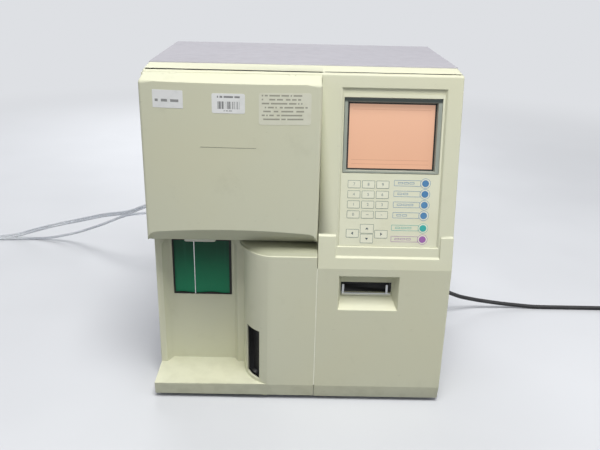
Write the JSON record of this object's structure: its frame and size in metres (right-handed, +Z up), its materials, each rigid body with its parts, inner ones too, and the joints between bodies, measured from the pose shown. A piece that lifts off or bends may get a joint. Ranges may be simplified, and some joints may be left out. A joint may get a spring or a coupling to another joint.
{
  "type": "hematology analyzer",
  "caption": "Benchtop hematology analyzer with a hinged front cover, sampling bay, tilted display and keypad console, printer slot, rear tubes and mains lead.",
  "frame": {"origin": "on the table under the middle of the main unit's bounding box, cords and tubes left out", "axes": "+X to the right seen from the front, +Y to the back, +Z up"},
  "size_m": [1.5512, 0.6616, 0.48],
  "materials": {
    "alloy": "satin",
    "black_plastic": "satin",
    "bright_steel": "bright",
    "case_paint": "fine texture",
    "circuit_board": "satin",
    "clear_plastic": "gloss",
    "cord_rubber": "satin",
    "cream_plastic": "fine texture",
    "display_glass": "gloss",
    "green_plastic": "gloss",
    "overlay_film": "satin",
    "paper": "matte",
    "rubber": "matte",
    "slate_plastic": "satin",
    "white_plastic": "satin",
    "zinc_steel": "satin"
  },
  "bodies": {
    "main_unit": {"base_pan": "zinc_steel", "bay_moulding": "cream_plastic", "bulkhead": "zinc_steel", "diaphragm_pump": "alloy", "display_bezel": "slate_plastic", "display_module": "display_glass", "fan_frame": "black_plastic", "fan_guard": "bright_steel", "foot_front_left": "rubber", "foot_front_right": "rubber", "foot_rear_left": "rubber", "foot_rear_right": "rubber", "front_frame": "cream_plastic", "green_back_plate": "green_plastic", "hinge_pin_left": "bright_steel", "hinge_pin_right": "bright_steel", "inlet_plug": "cord_rubber", "keypad_overlay": "overlay_film", "left_side_panel": "case_paint", "main_board": "circuit_board", "mains_lead": "cord_rubber", "mains_lead_coil": "cord_rubber", "mixing_chambers": "clear_plastic", "nipple_plate": "zinc_steel", "power_entry": "black_plastic", "power_supply": "alloy", "printer_mechanism": "black_plastic", "probe_drive": "zinc_steel", "rear_panel": "case_paint", "red_cell_detector": "clear_plastic", "right_side_panel": "case_paint", "rinse_cup": "white_plastic", "rotor_valve_body": "zinc_steel", "start_switch_pocket": "black_plastic", "tear_bar": "bright_steel", "top_panel": "case_paint", "tube_lower": "clear_plastic", "tube_lower_coil": "clear_plastic", "tube_lower_connector": "white_plastic", "tube_single": "clear_plastic", "tube_single_coil": "clear_plastic", "tube_single_connector": "white_plastic", "tube_upper": "clear_plastic", "tube_upper_coil": "clear_plastic", "tube_upper_connector": "white_plastic", "valve_manifold": "clear_plastic", "wall_plug": "cord_rubber", "waste_chamber": "clear_plastic", "white_cell_detector": "clear_plastic", "window_gasket": "rubber"},
    "front_cover": {"front_cover": "cream_plastic"},
    "start_paddle": {"start_switch_paddle": "black_plastic"},
    "probe_carriage": {"probe_carriage": "white_plastic", "sample_probe": "bright_steel"},
    "rotor_valve_disc": {"rotor_valve_disc": "white_plastic"},
    "platen_roller": {"platen_roller": "rubber"},
    "paper_roll": {"paper_roll": "paper"},
    "fan_rotor": {"fan_rotor": "black_plastic"},
    "power_rocker": {"power_rocker": "black_plastic"}
  },
  "joints": [
    {"name": "front_cover_hinge", "type": "hinge", "parent": "main_unit", "child": "front_cover", "pos_m": [-0.09305, -0.1325, 0.4697], "axis": [-1, 0, 0], "range_deg": [0, 75]},
    {"name": "start_switch", "type": "hinge", "parent": "main_unit", "child": "start_paddle", "pos_m": [-0.06316, -0.14024, 0.0725], "axis": [0, 0, 1], "range_deg": [0, 6], "stiffness_Nm_per_rad": 0.1, "springref_deg": -5.73},
    {"name": "probe_slide", "type": "slide", "parent": "main_unit", "child": "probe_carriage", "axis": [0, 0, 1], "range_m": [0, 0.088]},
    {"name": "rotor_valve_turn", "type": "hinge", "parent": "main_unit", "child": "rotor_valve_disc", "pos_m": [-0.04, -0.109, 0.3035], "axis": [0, 1, 0], "range_deg": [0, 40]},
    {"name": "paper_roll_spin", "type": "hinge", "parent": "main_unit", "child": "paper_roll", "pos_m": [0.0956, -0.115, 0.248], "axis": [1, 0, 0], "continuous": true},
    {"name": "platen_spin", "type": "hinge", "parent": "main_unit", "child": "platen_roller", "pos_m": [0.0956, -0.1405, 0.184], "axis": [1, 0, 0], "continuous": true},
    {"name": "fan_spin", "type": "hinge", "parent": "main_unit", "child": "fan_rotor", "pos_m": [0.1, 0.1277, 0.36], "axis": [0, 1, 0], "continuous": true},
    {"name": "power_rocker_tip", "type": "hinge", "parent": "main_unit", "child": "power_rocker", "pos_m": [0.2046, 0.1, 0.093], "axis": [0, 1, 0], "range_deg": [-14, 0]}
  ],
  "couplings": [
    {"joint": "platen_spin", "follows": "paper_roll_spin", "ratio": -3.5}
  ]
}
